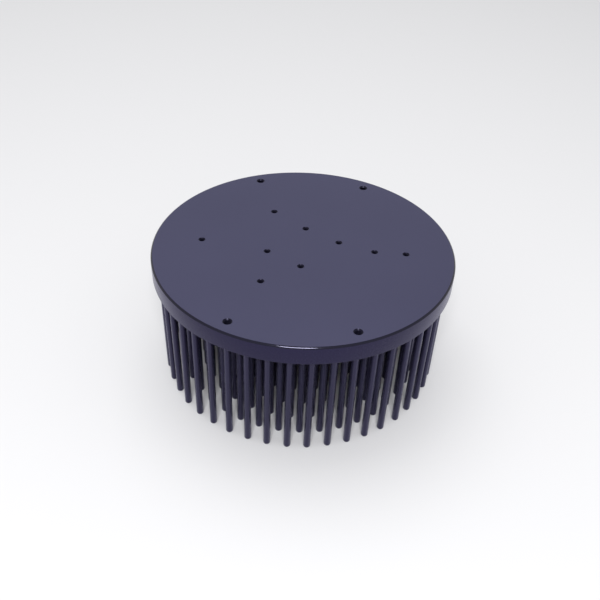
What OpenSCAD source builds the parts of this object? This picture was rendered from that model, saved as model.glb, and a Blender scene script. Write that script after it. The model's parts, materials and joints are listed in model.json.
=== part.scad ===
// Round pin fin heat sink: a turned aluminium plate with a field of forged
// pins on one side and tapped blind holes in the mounting face on the other.
// The origin lies on the plate's axis, level with the pin tips. +Z points out
// of the mounting face.

/* [Plate] */
// Diameter of the plate
plate_d = 155; // [130:0.5:200]
// Thickness of the plate
plate_t = 10; // [9:0.5:16]
// Height from the pin tips to the mounting face
overall_h = 70; // [30:1:110]
// Chamfer round the mounting face
face_chamfer = 0.8; // [0.2:0.1:2]
// Rounding of the plate's edge on the pin side
back_edge_r = 0.4; // [0.2:0.1:2]

/* [Pins] */
// Diameter of a pin
pin_d = 3.5; // [2.5:0.1:5]
// Rounding of the edge of a pin's tip
tip_r = 0.8; // [0.2:0.1:1.2]
// Width of the flare at a pin's root
root_flare = 0.5; // [0.2:0.1:1]
// Distance from the plate's rim to the axes of the outermost ring of pins
rim_inset = 4.7; // [4:0.1:10]
// Distance between neighbouring rings of pins
ring_pitch = 10; // [8:0.5:16]
// Distance between pins along the outermost ring
pin_spacing = 10.2; // [8:0.1:16]
// What that distance gains with each ring inwards
spacing_gain = 0.3; // [0:0.05:1]

/* [Holes near the rim] */
// Diameter of the circle that the four rim holes lie on
rim_pcd = 140; // [118:0.5:142]
// Angle between the two rim holes on one side
rim_pair_angle = 50; // [20:1:90]
// Tapping drill of the rim holes, for an M4 thread
rim_drill_d = 3.3; // [2.5:0.1:4.2]
// Diameter of the rim holes' countersunk mouths
rim_mouth_d = 4.6; // [4.3:0.1:6]

/* [Inner holes] */
// Tapping drill of the inner holes, for an M3 thread
inner_drill_d = 2.5; // [2:0.1:3.3]
// Diameter of the inner holes' countersunk mouths
inner_mouth_d = 3.6; // [3.4:0.1:5]
// Diameter of the circle that the three holder holes lie on
holder_pcd = 73; // [60:0.5:90]
// Distance between the outer pair of holes
outer_pair = 105; // [96:0.5:116]
// Distance between the middle pair of holes
middle_pair = 34; // [26:0.5:44]
// Distance between the turned pair of holes
turned_pair = 38; // [30:0.5:48]
// Angle that the turned pair is turned by
turned_pair_angle = 19; // [10:1:30]
// Depth of every hole, down to the shoulder of its drill point
hole_depth = 6.5; // [3:0.5:7]

/* [Hidden] */
$fn = 48;
anodised = [0.32, 0.32, 0.41];
plate_r = plate_d / 2;
pin_r = pin_d / 2;
pin_l = overall_h - plate_t;
outer_ring_r = plate_r - rim_inset;
// A ring closer to the axis than this is a single pin on the axis
centre_limit = ring_pitch / 2;
ring_count = ceil((outer_ring_r - centre_limit) / ring_pitch);
drill_point_angle = 118;
// How far solids reach into each other and cutters reach past a face
overlap = 0.5;

function ring_r(k) = outer_ring_r - k * ring_pitch;
function ring_pins(k) = round(2 * PI * ring_r(k) / (pin_spacing + k * spacing_gain));
// Every other ring is turned by half a step
function pin_angle(k, i) = -90 + (i + (k % 2) / 2) * 360 / ring_pins(k);

// Radius and angle of every pin: one on the axis, then the rings
pin_places = concat(
    [[0, 0]],
    [
        for (k = [0 : ring_count - 1], i = [0 : ring_pins(k) - 1])
            [ring_r(k), pin_angle(k, i)]
    ]
);

// Section of the plate from its axis out, with its back at y = 0
module plate_section() {
    polygon([
        [0, 0],
        [plate_r - back_edge_r, 0],
        [plate_r - back_edge_r, back_edge_r],
        [plate_r, back_edge_r],
        [plate_r, plate_t - face_chamfer],
        [plate_r - face_chamfer, plate_t],
        [0, plate_t]
    ]);
    translate([plate_r - back_edge_r, back_edge_r])
        circle(back_edge_r);
}

// Section of a pin from its axis out, with its tip at y = 0. Its flared root
// runs on into the plate.
module pin_section() {
    root_r = pin_r + root_flare + overlap;
    square([pin_r - tip_r, tip_r]);
    translate([0, tip_r])
        square([pin_r, pin_l - root_flare - tip_r]);
    translate([pin_r - tip_r, tip_r])
        circle(tip_r);
    polygon([
        [0, pin_l - root_flare],
        [pin_r, pin_l - root_flare],
        [root_r, pin_l + overlap],
        [0, pin_l + overlap]
    ]);
}

module pin() {
    rotate_extrude($fn = 24)
        pin_section();
}

// Blind tapped hole: its mouth lies at the origin and its drill point below
module tapped_hole(drill_d, mouth_d) {
    drill_r = drill_d / 2;
    mouth_r = mouth_d / 2;
    point_h = drill_r / tan(drill_point_angle / 2);
    rotate_extrude()
        polygon([
            [0, -hole_depth - point_h],
            [drill_r, -hole_depth],
            [drill_r, drill_r - mouth_r],
            [mouth_r + overlap, overlap],
            [0, overlap]
        ]);
}

module rim_holes() {
    for (side = [90, 270], half = [-1, 1])
        rotate(side + half * rim_pair_angle / 2)
            translate([rim_pcd / 2, 0, 0])
                tapped_hole(rim_drill_d, rim_mouth_d);
}

module inner_hole() {
    tapped_hole(inner_drill_d, inner_mouth_d);
}

module holder_holes() {
    for (i = [0 : 2])
        rotate(i * 120)
            translate([holder_pcd / 2, 0, 0])
                inner_hole();
}

// Two holes on a line through the axis, at an angle to +X
module hole_pair(distance, angle) {
    for (half = [0, 180])
        rotate(angle + half)
            translate([distance / 2, 0, 0])
                inner_hole();
}

module plate() {
    difference() {
        translate([0, 0, pin_l])
            rotate_extrude($fn = 180)
                plate_section();
        translate([0, 0, overall_h]) {
            rim_holes();
            holder_holes();
            hole_pair(outer_pair, 0);
            hole_pair(middle_pair, 90);
            hole_pair(turned_pair, turned_pair_angle);
        }
    }
}

module heat_sink() {
    color(anodised)
        union() {
            plate();
            for (place = pin_places)
                rotate(place[1])
                    translate([place[0], 0, 0])
                        pin();
        }
}

heat_sink();
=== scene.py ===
"""Looks of a round pin fin heat sink in black anodised aluminium.

The plate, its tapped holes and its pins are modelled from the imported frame's
sizes and stand for the frame's one solid. Lengths are in metres unless a name
ends in _mm, and angles are in degrees.
"""

import json
import logging
import math
from collections.abc import Iterator
from dataclasses import dataclass, field
from enum import Enum

import bmesh
import bpy
from bpy.types import Material, Node, NodeSocket, NodeTree, Object
from mathutils import Matrix, Vector
from mathutils.geometry import delaunay_2d_cdt

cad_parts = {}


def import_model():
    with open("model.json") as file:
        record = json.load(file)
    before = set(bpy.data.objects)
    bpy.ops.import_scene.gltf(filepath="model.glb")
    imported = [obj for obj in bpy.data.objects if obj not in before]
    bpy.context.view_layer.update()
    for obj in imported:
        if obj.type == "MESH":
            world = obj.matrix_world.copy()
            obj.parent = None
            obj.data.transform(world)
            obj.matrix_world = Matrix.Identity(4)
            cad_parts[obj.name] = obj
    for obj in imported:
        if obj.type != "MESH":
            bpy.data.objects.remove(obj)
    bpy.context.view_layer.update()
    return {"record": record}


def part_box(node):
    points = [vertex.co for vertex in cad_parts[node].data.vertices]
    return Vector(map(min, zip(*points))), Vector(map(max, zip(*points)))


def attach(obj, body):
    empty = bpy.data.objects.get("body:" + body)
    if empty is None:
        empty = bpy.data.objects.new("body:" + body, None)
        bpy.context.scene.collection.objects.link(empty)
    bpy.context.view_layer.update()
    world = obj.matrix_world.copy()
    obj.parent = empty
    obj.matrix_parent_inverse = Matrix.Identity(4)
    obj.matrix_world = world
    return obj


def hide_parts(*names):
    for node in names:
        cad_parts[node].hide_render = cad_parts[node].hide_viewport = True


MM = 0.001
SOLID = "heat_sink"
BODY = "root"

log = logging.getLogger("heat_sink")


def linear_colour(hex_code: str) -> tuple[float, float, float, float]:
    """Turns an sRGB hex colour into linear RGBA.

    Args:
        hex_code: six hex digits after a hash sign.

    Returns:
        The linear red, green and blue with an alpha of 1.
    """
    digits = hex_code.lstrip("#")
    channels = [int(digits[i : i + 2], 16) / 255 for i in (0, 2, 4)]
    linear = [c / 12.92 if c <= 0.04045 else ((c + 0.055) / 1.055) ** 2.4 for c in channels]
    return (linear[0], linear[1], linear[2], 1.0)


def add_node(tree: NodeTree, kind: str, inputs: dict | None = None, **settings: object) -> Node:
    """Adds a node to a tree with its settings and links.

    Args:
        tree: the shader or geometry tree.
        kind: the node's type name.
        inputs: a value or an output socket for each input name or number.
        **settings: values for the node's own properties.

    Returns:
        The new node.
    """
    node = tree.nodes.new(kind)
    for name, value in settings.items():
        setattr(node, name, value)
    for key, value in (inputs or {}).items():
        if isinstance(value, NodeSocket):
            tree.links.new(value, node.inputs[key])
        else:
            node.inputs[key].default_value = value
    return node


class Marks(Enum):
    """The tool marks that a surface keeps under its anodising."""

    FACED = "rings about the axis, from facing on a lathe"
    TURNED = "fine rings along the axis, from turning the rim"
    FORGED = "streaks along the pins, from the forging die"
    CUT = "no marks, from a sharp chamfering tool or a tap"


@dataclass(frozen=True)
class BlackAnodising:
    """Black-dyed anodic oxide on aluminium: a dark satin skin with the metal's soft sheen.

    The dye gives a violet-grey cast, and the oxide keeps the tool marks below it.
    """

    name: str
    marks: Marks
    # The base colour; on the rim, chamfer, threads and pins it also holds painted shade or a
    # painted dark reflection
    colour: str
    metallic: float = 0.4
    roughness: float = 0.42
    specular: float = 0.3
    sheen_tint: str = "#DCDAFF"
    # Real tool marks are 0.1 mm apart or finer, so these are drawn coarser to show
    mark_pitch_mm: float = 0.35
    mark_depth_mm: float = 0.004
    # A forging streak's width as a share of its length
    streak_squeeze: float = 0.02
    grain_mm: float = 0.5
    grain_depth_mm: float = 0.003
    # The stretch of each noise's values that its effect runs across
    noise_low: float = 0.3
    noise_high: float = 0.7
    # The etched grain also varies the roughness, and the dye takes in soft clouds
    roughness_spread: float = 0.03
    cloud_mm: float = 60.0
    cloud_spread: float = 0.03

    def material(self) -> Material:
        """Builds the finish as a node material.

        Returns:
            The new material.
        """
        made = bpy.data.materials.new(self.name)
        made.use_nodes = True
        tree = made.node_tree
        tree.nodes.clear()
        place = add_node(tree, "ShaderNodeTexCoord").outputs["Object"]
        grain = add_node(
            tree,
            "ShaderNodeTexNoise",
            {"Vector": place, "Scale": 1 / (self.grain_mm * MM), "Detail": 3.0, "Roughness": 0.6},
        ).outputs["Fac"]
        cloud = add_node(
            tree,
            "ShaderNodeTexNoise",
            {"Vector": place, "Scale": 1 / (self.cloud_mm * MM), "Detail": 2.0},
        ).outputs["Fac"]
        tone = linear_colour(self.colour)
        shade = add_node(
            tree,
            "ShaderNodeMapRange",
            {
                "Value": cloud,
                "From Min": self.noise_low,
                "From Max": self.noise_high,
                "To Min": 1 - self.cloud_spread,
                "To Max": 1 + self.cloud_spread,
            },
        ).outputs["Result"]
        dye_and_painted_shade = add_node(
            tree,
            "ShaderNodeVectorMath",
            {0: tone[:3], "Scale": shade},
            operation="SCALE",
        ).outputs["Vector"]
        rough = add_node(
            tree,
            "ShaderNodeMapRange",
            {
                "Value": grain,
                "From Min": self.noise_low,
                "From Max": self.noise_high,
                "To Min": self.roughness - self.roughness_spread,
                "To Max": self.roughness + self.roughness_spread,
            },
        ).outputs["Result"]
        normal = add_node(
            tree,
            "ShaderNodeBump",
            {"Height": grain, "Strength": 1.0, "Distance": self.grain_depth_mm * MM},
        ).outputs["Normal"]
        height = self._mark_height(tree, place)
        if height is not None:
            normal = add_node(
                tree,
                "ShaderNodeBump",
                {
                    "Height": height,
                    "Strength": 1.0,
                    "Distance": self.mark_depth_mm * MM,
                    "Normal": normal,
                },
            ).outputs["Normal"]
        skin = add_node(
            tree,
            "ShaderNodeBsdfPrincipled",
            {
                "Base Color": dye_and_painted_shade,
                "Metallic": self.metallic,
                "Roughness": rough,
                "Specular IOR Level": self.specular,
                "Specular Tint": linear_colour(self.sheen_tint),
                "Normal": normal,
            },
        )
        add_node(tree, "ShaderNodeOutputMaterial", {"Surface": skin.outputs["BSDF"]})
        return made

    def _mark_height(self, tree: NodeTree, place: NodeSocket) -> NodeSocket | None:
        """Adds the tool marks as a height pattern.

        Args:
            tree: the material's tree.
            place: the point in the piece's own coordinates.

        Returns:
            The height from 0 to 1, or None where the finish has no marks.
        """
        if self.marks is Marks.CUT:
            return None
        if self.marks is Marks.FORGED:
            stretched = add_node(
                tree,
                "ShaderNodeMapping",
                {"Vector": place, "Scale": (1.0, 1.0, self.streak_squeeze)},
            ).outputs["Vector"]
            return add_node(
                tree,
                "ShaderNodeTexNoise",
                {"Vector": stretched, "Scale": 1 / (self.mark_pitch_mm * MM), "Detail": 2.0},
            ).outputs["Fac"]
        kind = "RINGS" if self.marks is Marks.FACED else "BANDS"
        # One wave of Blender's pattern is a length of 2 pi / 20 at a scale of 1
        scale = math.tau / 20 / (self.mark_pitch_mm * MM)
        return add_node(
            tree,
            "ShaderNodeTexWave",
            {"Vector": place, "Scale": scale},
            wave_type=kind,
            bands_direction="Z",
            rings_direction="Z",
        ).outputs["Fac"]


class Thread(Enum):
    """Metric coarse threads: major diameter and pitch in millimetres."""

    M3 = (3.0, 0.5)
    M4 = (4.0, 0.7)

    @property
    def major_r(self) -> float:
        """Radius at the thread's root."""
        return self.value[0] / 2 * MM

    @property
    def pitch(self) -> float:
        """Distance from one turn to the next."""
        return self.value[1] * MM


@dataclass(frozen=True)
class TappedHole:
    """A blind hole with a countersunk mouth, a thread and a drill point."""

    centre: Vector
    drill_r: float
    mouth_r: float
    thread: Thread
    depth: float = 6.5 * MM
    point_angle: float = 118.0
    sides: int = 32

    # Where a thread's flats and flanks start, as shares of one pitch, and how
    # deep each lies, from 0 at the drilled wall to 1 at the thread's root
    PROFILE = ((0.0, 0.0), (0.25, 0.0), (0.56, 1.0), (0.69, 1.0), (1.0, 0.0))

    def mouth(self) -> list[Vector]:
        """Works out the mouth's outline in the mounting face's plane.

        Returns:
            The outline's points in order.
        """
        return [
            self.centre + self.mouth_r * Vector((math.cos(turn), math.sin(turn)))
            for turn in self._turns()[:-1]
        ]

    def _turns(self) -> list[float]:
        """Angles round the hole in radians, with the last one a full turn."""
        return [math.tau * i / self.sides for i in range(self.sides + 1)]

    def _depth_share(self, phase: float) -> float:
        """Finds how deep the thread is cut.

        Args:
            phase: the place within one pitch, from 0 to 1.

        Returns:
            The depth, from 0 at the drilled wall to 1 at the thread's root.
        """
        for (start, low), (end, high) in zip(self.PROFILE, self.PROFILE[1:]):
            if phase <= end:
                return low + (high - low) * (phase - start) / (end - start)
        return 0.0

    def _radius(self, height: float, turn: float) -> float:
        """Radius of the wall.

        Args:
            height: height above the shoulder of the drill point.
            turn: angle round the hole in radians.

        Returns:
            The distance from the hole's axis to its wall.
        """
        phase = (height / self.thread.pitch - turn / math.tau) % 1.0
        run_out = min(max(height / self.thread.pitch - 1.0, 0.0), 1.0)
        cut = (self.thread.major_r - self.drill_r) * self._depth_share(phase) * run_out
        countersink = self.mouth_r - (self.depth - height)
        return max(self.drill_r + cut, countersink)

    def add_to(self, mesh: bmesh.types.BMesh, face_z: float, finish: int) -> None:
        """Adds the hole's wall and drill point to a mesh.

        The rows of the wall follow the thread's helix and are held back at
        both ends, where the rows that fall together merge later.

        Args:
            mesh: the mesh to add to.
            face_z: height of the mounting face.
            finish: number of the material slot.
        """
        pitch = self.thread.pitch
        shares = [start for start, _ in self.PROFILE[:-1]]
        count = math.ceil(self.depth / pitch) + 2
        starts = [(k - 1 + share) * pitch for k in range(count) for share in shares]
        shoulder_z = face_z - self.depth
        columns = []
        for turn in self._turns():
            column = []
            for start in starts:
                height = min(max(start + pitch * turn / math.tau, 0.0), self.depth)
                reach = self._radius(height, turn)
                x = self.centre.x + reach * math.cos(turn)
                y = self.centre.y + reach * math.sin(turn)
                column.append(mesh.verts.new((x, y, shoulder_z + height)))
            columns.append(column)
        drop = self.drill_r / math.tan(math.radians(self.point_angle / 2))
        point = mesh.verts.new((self.centre.x, self.centre.y, shoulder_z - drop))
        for near, far in zip(columns, columns[1:]):
            mesh.faces.new((near[0], far[0], point)).material_index = finish
            for j in range(len(starts) - 1):
                wall = (near[j], near[j + 1], far[j + 1], far[j])
                mesh.faces.new(wall).material_index = finish


@dataclass
class MountingPlate:
    """The turned plate with its chamfered face and thirteen tapped holes."""

    radius: float
    face_z: float
    holes: list[TappedHole]
    thickness: float = 10 * MM
    face_chamfer: float = 0.8 * MM
    back_edge_r: float = 0.4 * MM
    edge_break: float = 0.1 * MM
    sides: int = 256
    arc_steps: int = 4
    merge_distance: float = 0.002 * MM
    # Points of the face's outlines that lie closer than this count as one
    point_tolerance: float = 1e-7
    # Edges that turn by more than this stay sharp
    sharp_angle: float = 30.0
    # The faced side is the matt one, the rim is finer turned, and the chamfer
    # and the threads are cut bright. The rim's darker colour is painted shade of the
    # side wall, the chamfer's near-black colour is a painted dark reflection, and the
    # threads' dark colour is painted shade in the holes
    finishes: tuple[BlackAnodising, ...] = (
        BlackAnodising("faced_black_anodised_aluminium", Marks.FACED, "#404057"),
        BlackAnodising(
            "turned_black_anodised_aluminium_painted_shade",
            Marks.TURNED,
            # The rim's colour is darker than the face's colour: painted shade of the side wall
            "#25213E",
            metallic=0.3,
            roughness=0.26,
            specular=0.3,
        ),
        BlackAnodising(
            "bright_cut_aluminium_painted_dark_reflection",
            Marks.CUT,
            # Near black: a painted dark reflection along the chamfer; its front highlight comes
            # from the front lamp
            "#080716",
            metallic=0.0,
            roughness=0.12,
            specular=0.4,
        ),
        BlackAnodising(
            "tapped_black_anodised_aluminium_painted_shade",
            Marks.CUT,
            # Near black: painted shade inside the tapped holes
            "#0E0D1C",
            metallic=0.2,
            roughness=0.3,
            specular=0.25,
        ),
    )

    FACE, RIM, CHAMFER, BORE = range(4)
    CHAMFER_BANDS = 3

    @property
    def back_z(self) -> float:
        """Height of the plate's back, where the pins start."""
        return self.face_z - self.thickness

    def rim_profile(self) -> list[tuple[float, float]]:
        """Section of the rim from the mounting face to the back.

        Returns:
            Radius and height of each point.
        """
        broken = self.edge_break * math.cos(math.radians(45))
        inner = self.radius - self.face_chamfer
        lower = self.face_z - self.face_chamfer
        points = [
            (inner - self.edge_break, self.face_z),
            (inner + broken, self.face_z - broken),
            (self.radius - broken, lower + broken),
            (self.radius, lower - self.edge_break),
        ]
        for step in range(self.arc_steps + 1):
            turn = math.radians(90 * step / self.arc_steps)
            points.append(
                (
                    self.radius - self.back_edge_r * (1 - math.cos(turn)),
                    self.back_z + self.back_edge_r * (1 - math.sin(turn)),
                )
            )
        return points

    def _ring(
        self, mesh: bmesh.types.BMesh, radius: float, height: float
    ) -> list[bmesh.types.BMVert]:
        """Adds a ring of vertices about the axis.

        Args:
            mesh: the mesh to add to.
            radius: the ring's radius.
            height: the ring's height.

        Returns:
            The ring's vertices in order.
        """
        return [
            mesh.verts.new(
                (
                    radius * math.cos(math.tau * i / self.sides),
                    radius * math.sin(math.tau * i / self.sides),
                    height,
                )
            )
            for i in range(self.sides)
        ]

    def _add_rim(self, mesh: bmesh.types.BMesh) -> None:
        """Adds the rim as rings joined by bands, and closes the back.

        Args:
            mesh: the mesh to add to.
        """
        rings = [self._ring(mesh, radius, height) for radius, height in self.rim_profile()]
        for row, (upper, lower) in enumerate(zip(rings, rings[1:])):
            finish = self.CHAMFER if row < self.CHAMFER_BANDS else self.RIM
            for i in range(self.sides):
                j = (i + 1) % self.sides
                band = mesh.faces.new((upper[i], lower[i], lower[j], upper[j]))
                band.material_index = finish
        mesh.faces.new(rings[-1]).material_index = self.RIM

    def _add_face(self, mesh: bmesh.types.BMesh) -> None:
        """Adds the mounting face as triangles between the rim and the holes' mouths.

        Args:
            mesh: the mesh to add to.
        """
        face_r = self.rim_profile()[0][0]
        outline = [
            Vector((math.cos(turn), math.sin(turn))) * face_r
            for turn in (math.tau * i / self.sides for i in range(self.sides))
        ]
        points, edges = [], []
        for loop in [outline] + [hole.mouth() for hole in self.holes]:
            first = len(points)
            points += loop
            edges += [(first + i, first + (i + 1) % len(loop)) for i in range(len(loop))]
        flat, _, triangles, *_ = delaunay_2d_cdt(points, edges, [], 0, self.point_tolerance)
        corners = [mesh.verts.new((p.x, p.y, self.face_z)) for p in flat]
        for triangle in triangles:
            middle = sum((flat[i] for i in triangle), Vector((0, 0))) / 3
            if any((middle - hole.centre).length < hole.mouth_r for hole in self.holes):
                continue
            mesh.faces.new([corners[i] for i in triangle]).material_index = self.FACE

    def build(self) -> Object:
        """Builds the plate as one closed mesh with its finishes.

        Returns:
            The plate's object.
        """
        mesh = bmesh.new()
        self._add_rim(mesh)
        self._add_face(mesh)
        for hole in self.holes:
            hole.add_to(mesh, self.face_z, self.BORE)
        bmesh.ops.remove_doubles(mesh, verts=mesh.verts, dist=self.merge_distance)
        bmesh.ops.recalc_face_normals(mesh, faces=mesh.faces)
        open_edges = sum(not edge.is_manifold for edge in mesh.edges)
        if open_edges:
            raise ValueError(f"the plate has {open_edges} edges that aren't closed")
        for face in mesh.faces:
            face.smooth = True
        sharp = math.radians(self.sharp_angle)
        for edge in mesh.edges:
            ends = {face.material_index for face in edge.link_faces}
            edge.smooth = len(ends) == 1 and edge.calc_face_angle() < sharp
        data = bpy.data.meshes.new("plate")
        mesh.to_mesh(data)
        mesh.free()
        for finish in self.finishes:
            data.materials.append(finish.material())
        plate = bpy.data.objects.new("plate", data)
        bpy.context.scene.collection.objects.link(plate)
        return plate


@dataclass
class PinField:
    """Rings of forged pins that hang from the plate's back."""

    plate_r: float
    back_z: float
    rim_inset: float = 4.7 * MM
    ring_pitch: float = 10 * MM
    pin_spacing: float = 10.2 * MM
    spacing_gain: float = 0.3 * MM
    pin_r: float = 1.75 * MM
    tip_rounding: float = 0.8 * MM
    root_fillet: float = 0.6 * MM
    root_sink: float = 0.2 * MM
    first_angle: float = -90.0
    # Forged pins stray from the vertical by up to this angle each way
    lean: float = 0.25
    seed: int = 7
    sides: int = 16
    arc_steps: int = 2
    finish: BlackAnodising = field(
        default_factory=lambda: BlackAnodising(
            "forged_black_anodised_aluminium_painted_shade",
            Marks.FORGED,
            # Darker than the face's colour: painted shade among the pins
            "#2A2742",
            metallic=0.4,
            roughness=0.22,
            specular=0.35,
        )
    )

    @property
    def outer_ring_r(self) -> float:
        """Radius of the ring nearest the rim."""
        return self.plate_r - self.rim_inset

    def sizes(self, material: Material) -> dict[str, tuple[str, object]]:
        """The tree's named inputs.

        Args:
            material: the pins' finish.

        Returns:
            The socket type and the value of each input.
        """
        rings = math.ceil((self.outer_ring_r - self.ring_pitch / 2) / self.ring_pitch)
        return {
            "Outer ring radius": ("NodeSocketFloat", self.outer_ring_r),
            "Ring pitch": ("NodeSocketFloat", self.ring_pitch),
            "Ring count": ("NodeSocketInt", rings),
            "Pin spacing": ("NodeSocketFloat", self.pin_spacing),
            "Spacing gain": ("NodeSocketFloat", self.spacing_gain),
            "First angle": ("NodeSocketFloat", math.radians(self.first_angle)),
            "Back height": ("NodeSocketFloat", self.back_z),
            "Pin radius": ("NodeSocketFloat", self.pin_r),
            "Pin length": ("NodeSocketFloat", self.back_z),
            "Tip rounding": ("NodeSocketFloat", self.tip_rounding),
            "Root fillet": ("NodeSocketFloat", self.root_fillet),
            "Root sink": ("NodeSocketFloat", self.root_sink),
            "Sides": ("NodeSocketInt", self.sides),
            "Lean": ("NodeSocketFloat", math.radians(self.lean)),
            "Seed": ("NodeSocketInt", self.seed),
            "Finish": ("NodeSocketMaterial", material),
        }

    def _add_pin(self, tree: NodeTree, given: dict[str, NodeSocket]) -> NodeSocket:
        """Adds one pin that hangs from the origin, swept along its axis.

        Args:
            tree: the geometry tree.
            given: the tree's inputs by name.

        Returns:
            The pin's mesh.
        """

        def scaled(size: NodeSocket, share: float, base: NodeSocket | float) -> NodeSocket:
            """Adds a share of a size to a base.

            Args:
                size: the size to take a share of.
                share: the share.
                base: what it is added to.

            Returns:
                The sum.
            """
            node = add_node(
                tree, "ShaderNodeMath", {0: size, 1: share, 2: base}, operation="MULTIPLY_ADD"
            )
            return node.outputs[0]

        radius, fillet, tip = (given[k] for k in ("Pin radius", "Root fillet", "Tip rounding"))
        end = scaled(given["Pin length"], -1.0, 0.0)
        heights = [given["Root sink"]]
        reaches = [scaled(fillet, 1.0, radius)]
        turns = [math.radians(90 * i / self.arc_steps) for i in range(self.arc_steps + 1)]
        for turn in turns:
            heights.append(scaled(fillet, math.cos(turn) - 1, 0.0))
            reaches.append(scaled(fillet, 1 - math.sin(turn), radius))
        for turn in turns:
            heights.append(scaled(tip, 1 - math.sin(turn), end))
            reaches.append(scaled(tip, math.cos(turn) - 1, radius))
        index = add_node(tree, "GeometryNodeInputIndex").outputs[0]
        picked = []
        for rows in (heights, reaches):
            switch = add_node(tree, "GeometryNodeIndexSwitch", {"Index": index}, data_type="FLOAT")
            while len(switch.index_switch_items) < len(rows):
                switch.index_switch_items.new()
            for i, row in enumerate(rows):
                tree.links.new(row, switch.inputs[i + 1])
            picked.append(switch.outputs[0])
        spine = add_node(tree, "GeometryNodeMeshLine", {"Count": len(heights)})
        place = add_node(tree, "ShaderNodeCombineXYZ", {"Z": picked[0]})
        placed = add_node(
            tree,
            "GeometryNodeSetPosition",
            {"Geometry": spine.outputs[0], "Position": place.outputs[0]},
        )
        axis = add_node(tree, "GeometryNodeMeshToCurve", {"Mesh": placed.outputs[0]})
        section = add_node(
            tree, "GeometryNodeCurvePrimitiveCircle", {"Resolution": given["Sides"], "Radius": 1.0}
        )
        swept = add_node(
            tree,
            "GeometryNodeCurveToMesh",
            {
                "Curve": axis.outputs[0],
                "Profile Curve": section.outputs[0],
                "Scale": picked[1],
                "Fill Caps": True,
            },
        )
        return swept.outputs[0]

    def _add_places(self, tree: NodeTree, given: dict[str, NodeSocket]) -> NodeSocket:
        """Adds the points that the pins hang from: one on the axis, then the rings.

        Args:
            tree: the geometry tree.
            given: the tree's inputs by name.

        Returns:
            The points.
        """

        def sum_of(operation: str, *terms: NodeSocket | float) -> NodeSocket:
            """Works out one sum.

            Args:
                operation: the sum's name, such as MULTIPLY.
                *terms: its one to three terms.

            Returns:
                The result.
            """
            inputs = dict(enumerate(terms))
            return add_node(tree, "ShaderNodeMath", inputs, operation=operation).outputs[0]

        centre = add_node(tree, "GeometryNodePoints", {"Count": 1})
        start = add_node(tree, "GeometryNodeRepeatInput")
        end = add_node(tree, "GeometryNodeRepeatOutput")
        start.pair_with_output(end)
        tree.links.new(given["Ring count"], start.inputs["Iterations"])
        tree.links.new(centre.outputs[0], start.inputs["Geometry"])
        number = start.outputs["Iteration"]
        inset = sum_of("MULTIPLY", number, given["Ring pitch"])
        ring_r = sum_of("SUBTRACT", given["Outer ring radius"], inset)
        spacing = sum_of("MULTIPLY_ADD", number, given["Spacing gain"], given["Pin spacing"])
        around = sum_of("MULTIPLY", ring_r, math.tau)
        count = sum_of("ROUND", sum_of("DIVIDE", around, spacing))
        step = sum_of("DIVIDE", math.tau, count)
        shift = sum_of("MULTIPLY", sum_of("MODULO", number, 2.0), 0.5)
        angle = sum_of("MULTIPLY_ADD", shift, step, given["First angle"])
        ring = add_node(tree, "GeometryNodeMeshCircle", {"Vertices": count, "Radius": ring_r})
        turn = add_node(tree, "ShaderNodeCombineXYZ", {"Z": angle})
        turned = add_node(
            tree,
            "GeometryNodeTransform",
            {"Geometry": ring.outputs[0], "Rotation": turn.outputs[0]},
        )
        joined = add_node(tree, "GeometryNodeJoinGeometry")
        tree.links.new(turned.outputs[0], joined.inputs[0])
        tree.links.new(start.outputs["Geometry"], joined.inputs[0])
        tree.links.new(joined.outputs[0], end.inputs["Geometry"])
        lift = add_node(tree, "ShaderNodeCombineXYZ", {"Z": given["Back height"]})
        lifted = add_node(
            tree,
            "GeometryNodeSetPosition",
            {"Geometry": end.outputs["Geometry"], "Offset": lift.outputs[0]},
        )
        return lifted.outputs[0]

    def _tree(self, material: Material) -> NodeTree:
        """Builds the geometry tree of the whole field.

        Args:
            material: the pins' finish.

        Returns:
            The tree.
        """
        tree = bpy.data.node_groups.new("pin_field", "GeometryNodeTree")
        for name, (kind, _) in self.sizes(material).items():
            tree.interface.new_socket(name, in_out="INPUT", socket_type=kind)
        tree.interface.new_socket("Pins", in_out="OUTPUT", socket_type="NodeSocketGeometry")
        given = add_node(tree, "NodeGroupInput").outputs
        reverse = add_node(
            tree, "ShaderNodeMath", {0: given["Lean"], 1: -1.0}, operation="MULTIPLY"
        ).outputs[0]
        least = add_node(tree, "ShaderNodeCombineXYZ", {"X": reverse, "Y": reverse})
        most = add_node(tree, "ShaderNodeCombineXYZ", {"X": given["Lean"], "Y": given["Lean"]})
        leaning = add_node(
            tree,
            "FunctionNodeRandomValue",
            {0: least.outputs[0], 1: most.outputs[0], "Seed": given["Seed"]},
            data_type="FLOAT_VECTOR",
        )
        placed = add_node(
            tree,
            "GeometryNodeInstanceOnPoints",
            {
                "Points": self._add_places(tree, given),
                "Instance": self._add_pin(tree, given),
                "Rotation": leaning.outputs[0],
            },
        )
        real = add_node(tree, "GeometryNodeRealizeInstances", {"Geometry": placed.outputs[0]})
        smooth = add_node(tree, "GeometryNodeSetShadeSmooth", {"Geometry": real.outputs[0]})
        dressed = add_node(
            tree,
            "GeometryNodeSetMaterial",
            {"Geometry": smooth.outputs[0], "Material": given["Finish"]},
        )
        add_node(tree, "NodeGroupOutput", {"Pins": dressed.outputs[0]})
        return tree

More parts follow.
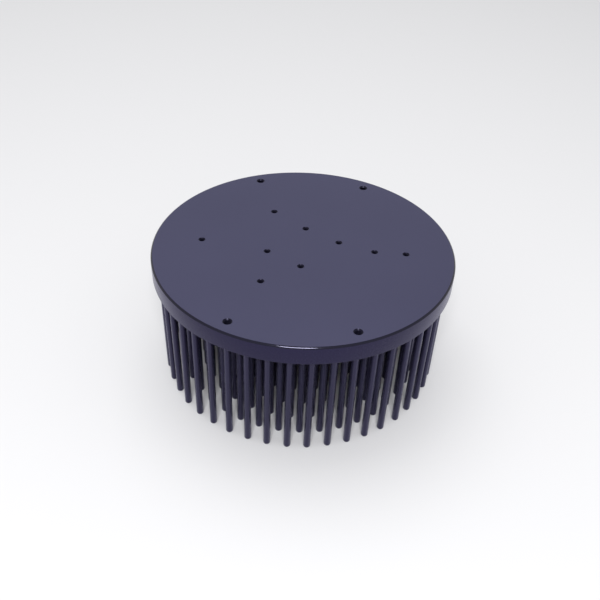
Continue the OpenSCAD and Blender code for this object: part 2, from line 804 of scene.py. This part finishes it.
    def build(self) -> Object:
        """Builds the field and turns it into a plain mesh.

        Returns:
            The pins' object.
        """
        material = self.finish.material()
        pins = bpy.data.objects.new("pins", bpy.data.meshes.new("seed_of_pins"))
        bpy.context.scene.collection.objects.link(pins)
        modifier = pins.modifiers.new("pin_field", "NODES")
        tree = self._tree(material)
        modifier.node_group = tree
        identifiers = {
            item.name: item.identifier
            for item in tree.interface.items_tree
            if item.item_type == "SOCKET" and item.in_out == "INPUT"
        }
        for name, (_, value) in self.sizes(material).items():
            modifier[identifiers[name]] = value
        graph = bpy.context.evaluated_depsgraph_get()
        data = bpy.data.meshes.new_from_object(pins.evaluated_get(graph), depsgraph=graph)
        pins.modifiers.clear()
        pins.data = data
        data.name = "pins"
        return pins


@dataclass
class HolePlan:
    """Where the mounting face's holes lie, from the record's mounts."""

    mounts: list[dict]
    # Angle from +X of the first hole of each pattern on a circle
    first_angles: dict[str, float] = field(
        default_factory=lambda: {"holder_holes": 0.0, "turned_pair": 19.0}
    )
    mouth_rs: dict[Thread, float] = field(
        default_factory=lambda: {Thread.M3: 1.8 * MM, Thread.M4: 2.3 * MM}
    )

    def _centres(self, name: str, dims: dict) -> Iterator[Vector]:
        """Yields the centre of each hole of one pattern.

        Args:
            name: the mount's name.
            dims: the mount's dimensions.

        Yields:
            The holes' centres, one after another.
        """
        if "pcd_mm" in dims:
            for i in range(dims["count"]):
                turn = math.radians(self.first_angles[name] + 360 * i / dims["count"])
                yield Vector((math.cos(turn), math.sin(turn))) * dims["pcd_mm"] / 2 * MM
            return
        halves = [dims.get(f"spacing_{axis}_mm", 0) / 2 * MM for axis in "xy"]
        for x in sorted({-halves[0], halves[0]}):
            for y in sorted({-halves[1], halves[1]}):
                yield Vector((x, y))

    def holes(self) -> list[TappedHole]:
        """Works out all holes of all bolt patterns.

        Returns:
            The holes in the order of their patterns.
        """
        made = []
        for mount in self.mounts:
            if mount["kind"] != "bolt_pattern":
                continue
            drill_r = mount["dims"]["hole_r_mm"] * MM
            thread = Thread.M3 if drill_r < Thread.M3.major_r else Thread.M4
            for centre in self._centres(mount["name"], mount["dims"]):
                made.append(TappedHole(centre, drill_r, self.mouth_rs[thread], thread))
        return made


@dataclass
class Studio:
    """Pale floor, soft light and the camera."""

    floor_colour: str = "#EBEBED"
    floor_size: float = 6.0
    # The floor throws back less light than it shows, so the sides stay dark
    bounce_colour: str = "#66666A"
    floor_gap: float = 0.1 * MM
    world_level: float = 0.5
    # How pale the surround looks where it is seen or mirrored
    surround_level: float = 0.87
    key_power: float = 5.6
    key_size: float = 1.1
    key_place: tuple[float, float, float] = (-0.2, 0.5, 1.4)
    front_power: float = 10.5
    front_size: tuple[float, float] = (0.42, 0.2)
    front_place: tuple[float, float, float] = (0.03, -0.87, 0.97)
    camera_place: tuple[float, float, float] = (16.1 * MM, -322.4 * MM, 291.4 * MM)
    # Direction of sight: heading from +Y towards -X, and angle below level
    camera_heading: float = 3.82
    camera_dip: float = 41.08
    camera_roll: float = 2.04
    camera_lens_mm: float = 45.5
    camera_sensor_mm: float = 36.0
    camera_clip_start: float = 0.01
    camera_shift: tuple[float, float] = (0.0173, 0.0575)

    def _surroundings(self, tree: NodeTree) -> NodeSocket:
        """Adds a mask that is 1 for camera, glossy and transmission rays.

        Args:
            tree: the tree of a material or the world.

        Returns:
            The mask.
        """
        rays = add_node(tree, "ShaderNodeLightPath").outputs
        seen = rays["Is Camera Ray"]
        for name in ("Is Glossy Ray", "Is Transmission Ray"):
            seen = add_node(
                tree, "ShaderNodeMath", {0: seen, 1: rays[name]}, operation="MAXIMUM"
            ).outputs[0]
        return seen

    def build_world(self) -> None:
        """Lights the scene evenly, with a pale surround where it is seen directly."""
        world = bpy.data.worlds.new("studio")
        bpy.context.scene.world = world
        world.use_nodes = True
        tree = world.node_tree
        tree.nodes.clear()
        level = add_node(
            tree,
            "ShaderNodeMapRange",
            {
                "Value": self._surroundings(tree),
                "To Min": self.world_level,
                "To Max": self.surround_level,
            },
        )
        sky = add_node(
            tree,
            "ShaderNodeBackground",
            {"Color": (1.0, 1.0, 1.0, 1.0), "Strength": level.outputs["Result"]},
        )
        add_node(tree, "ShaderNodeOutputWorld", {"Surface": sky.outputs[0]})

    def build_floor(self) -> Object:
        """Builds the floor just below the pin tips.

        Returns:
            The floor's object.
        """
        half = self.floor_size / 2
        data = bpy.data.meshes.new("floor")
        corners = [(-half, -half), (half, -half), (half, half), (-half, half)]
        data.from_pydata([(x, y, -self.floor_gap) for x, y in corners], [], [(0, 1, 2, 3)])
        material = bpy.data.materials.new("pale_paper_sweep")
        material.use_nodes = True
        tree = material.node_tree
        tree.nodes.clear()
        shown = add_node(
            tree, "ShaderNodeBsdfDiffuse", {"Color": linear_colour(self.floor_colour)}
        )
        dim = add_node(
            tree, "ShaderNodeBsdfDiffuse", {"Color": linear_colour(self.bounce_colour)}
        )
        skin = add_node(
            tree,
            "ShaderNodeMixShader",
            {0: self._surroundings(tree), 1: dim.outputs[0], 2: shown.outputs[0]},
        )
        add_node(tree, "ShaderNodeOutputMaterial", {"Surface": skin.outputs[0]})
        data.materials.append(material)
        floor = bpy.data.objects.new("floor", data)
        bpy.context.scene.collection.objects.link(floor)
        return floor

    def _hang_lamp(
        self, name: str, power: float, size: tuple[float, float], place: tuple[float, float, float]
    ) -> None:
        """Hangs a soft lamp that is aimed at the origin.

        Args:
            name: the lamp's name.
            power: its power in watts.
            size: its width and height.
            place: where its middle is.
        """
        lamp = bpy.data.lights.new(name, "AREA")
        lamp.shape = "RECTANGLE"
        lamp.size, lamp.size_y = size
        lamp.energy = power
        holder = bpy.data.objects.new(name, lamp)
        holder.location = place
        holder.rotation_euler = Vector(place).to_track_quat("Z", "Y").to_euler()
        bpy.context.scene.collection.objects.link(holder)

    def build_lights(self) -> None:
        """Hangs a large lamp overhead and a small one that lights the front chamfer."""
        self._hang_lamp(
            "overhead_softbox", self.key_power, (self.key_size, self.key_size), self.key_place
        )
        self._hang_lamp("front_softbox", self.front_power, self.front_size, self.front_place)

    def build_camera(self) -> None:
        """Sets up the camera from its place, heading, dip and roll."""
        data = bpy.data.cameras.new("camera")
        data.lens = self.camera_lens_mm
        data.sensor_width = self.camera_sensor_mm
        data.shift_x, data.shift_y = self.camera_shift
        data.clip_start = self.camera_clip_start
        holder = bpy.data.objects.new("camera", data)
        turned = (
            Matrix.Rotation(math.radians(self.camera_heading), 4, "Z")
            @ Matrix.Rotation(math.radians(90 - self.camera_dip), 4, "X")
            @ Matrix.Rotation(math.radians(self.camera_roll), 4, "Z")
        )
        holder.matrix_world = Matrix.Translation(self.camera_place) @ turned
        bpy.context.scene.collection.objects.link(holder)
        bpy.context.scene.camera = holder

    def build(self) -> None:
        """Builds everything round the object."""
        self.build_world()
        self.build_lights()
        self.build_camera()
        self.build_floor()
        bpy.context.scene.view_settings.view_transform = "Standard"


def main() -> None:
    """Builds the heat sink round the frame, and the studio round both."""
    logging.basicConfig(level=logging.INFO, format="%(message)s")
    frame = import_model()
    low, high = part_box(SOLID)
    Studio().build()
    plate = MountingPlate(
        radius=(high.x - low.x) / 2,
        face_z=high.z,
        holes=HolePlan(frame["record"]["mounts"]).holes(),
    )
    pins = PinField(plate_r=plate.radius, back_z=plate.back_z)
    for piece in (plate.build(), pins.build()):
        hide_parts(SOLID)
        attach(piece, BODY)
        log.info("%s: %d faces", piece.name, len(piece.data.polygons))


if __name__ == "__main__":
    main()
